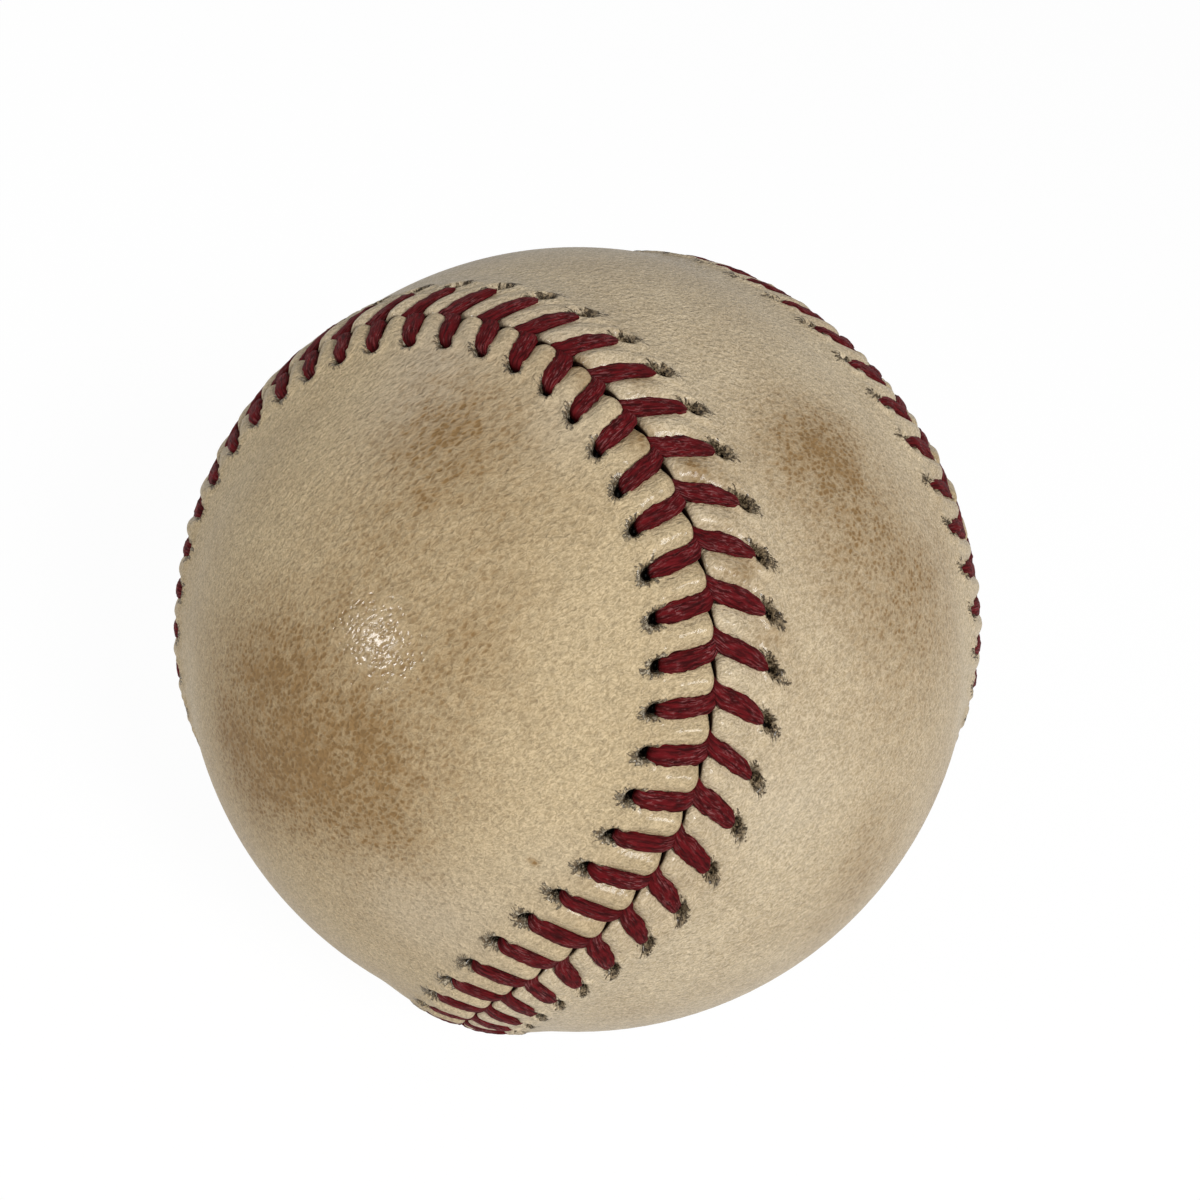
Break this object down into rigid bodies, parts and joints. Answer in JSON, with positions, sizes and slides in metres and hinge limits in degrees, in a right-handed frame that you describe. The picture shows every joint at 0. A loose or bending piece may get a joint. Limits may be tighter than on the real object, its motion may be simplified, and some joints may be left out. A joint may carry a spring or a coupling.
{
  "type": "baseball",
  "caption": "Worn stitched leather baseball: two figure-eight cowhide panels laced together with red thread over yarn windings and a cork and rubber core.",
  "frame": {"origin": "centre of the ball", "axes": "+Z through the middle of the upper panel's waist and -Z through the lower panel's; the seam crosses the X and Y axes, and a half turn about X swaps the two panels"},
  "size_m": [0.0772, 0.0772, 0.0744],
  "materials": {
    "cork": "matte cork and rubber composition",
    "black_rubber": "matte moulded rubber",
    "red_rubber": "matte moulded rubber",
    "grey_wool": "wound wool yarn",
    "white_wool": "wound wool yarn",
    "white_cotton": "fine wound cotton yarn",
    "cement": "thin dried rubber cement",
    "cowhide": "worn, stained, fine grained",
    "red_thread": "waxed cotton thread"
  },
  "bodies": {
    "root": {"cork_core": "cork", "upper_black_shell": "black_rubber", "lower_black_shell": "black_rubber", "red_gasket": "red_rubber", "red_rubber_layer": "red_rubber", "first_winding": "grey_wool", "second_winding": "white_wool", "third_winding": "grey_wool", "fourth_winding": "white_cotton", "cement_film": "cement", "upper_cover_panel": "cowhide", "lower_cover_panel": "cowhide", "first_thread": "red_thread", "second_thread": "red_thread"}
  },
  "joints": []
}
